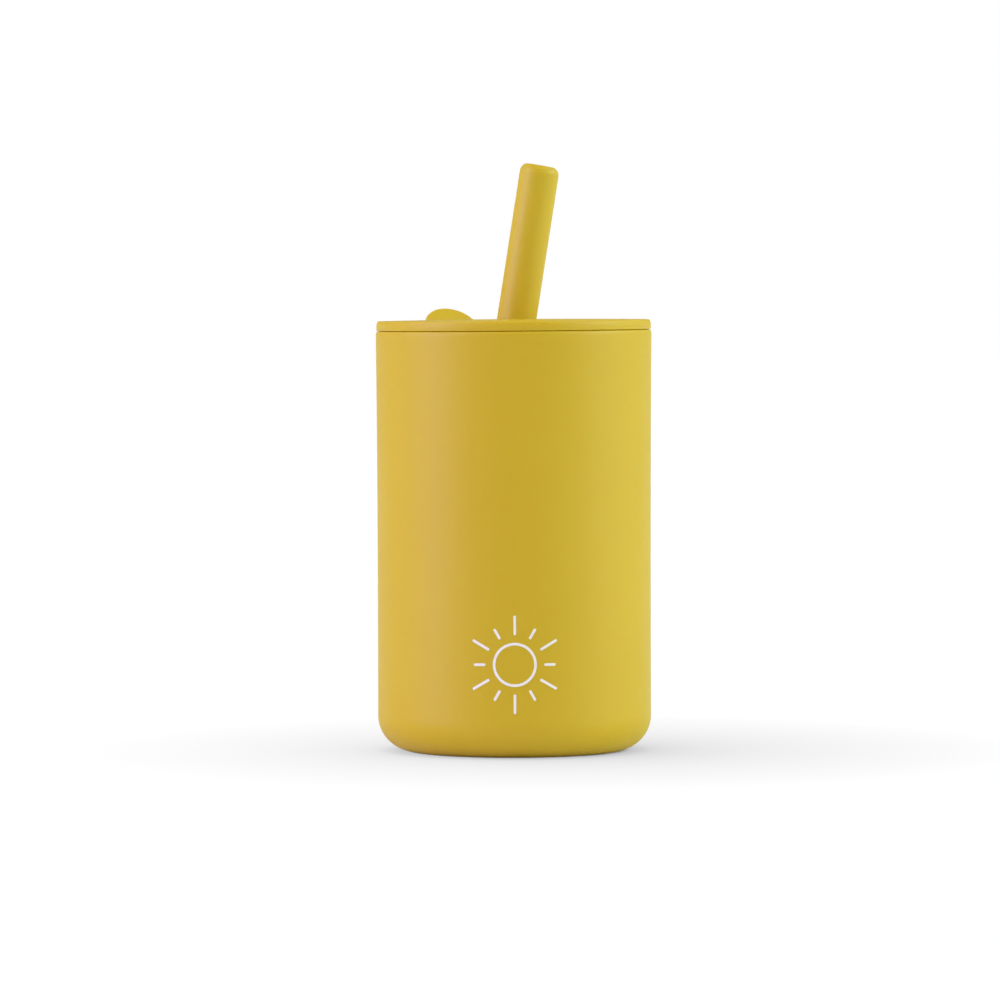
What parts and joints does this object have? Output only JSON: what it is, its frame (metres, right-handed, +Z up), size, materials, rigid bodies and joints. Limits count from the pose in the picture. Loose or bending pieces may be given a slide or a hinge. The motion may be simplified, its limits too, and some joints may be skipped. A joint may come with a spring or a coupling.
{
  "type": "sippy cup",
  "caption": "Small silicone toddler cup with a straight wall and rounded base, a press-in lid with a curled lift tab, and a leaning soft straw through the lid.",
  "frame": {"origin": "centre of the cup's flat base, on the surface it stands on", "axes": "+Z up along the cup's axis; -Y is the front, with the printed motif; the straw leans to +X"},
  "size_m": [0.0704, 0.0746, 0.15],
  "materials": {
    "cup_silicone": "soft matt",
    "lid_silicone": "soft matt",
    "straw_silicone": "soft matt",
    "white_print": "matt"
  },
  "bodies": {
    "cup": {"cup_body": "cup_silicone"},
    "lid": {"lid": "lid_silicone"},
    "straw": {"straw": "straw_silicone"},
    "tab": {"lift_tab": "lid_silicone"}
  },
  "joints": [
    {"name": "lid_lift", "type": "slide", "parent": "cup", "child": "lid", "axis": [0, 0, 1], "range_m": [0, 0.115]},
    {"name": "straw_slide", "type": "slide", "parent": "lid", "child": "straw", "axis": [0.1556, 0, 0.9878], "range_m": [0, 0.115]},
    {"name": "tab_flex", "type": "hinge", "parent": "lid", "child": "tab", "pos_m": [-0.01493, 0.0306, 0.1089], "axis": [0.8988, 0.4384, 0], "range_deg": [-15, 60], "stiffness_Nm_per_rad": 0.007}
  ]
}
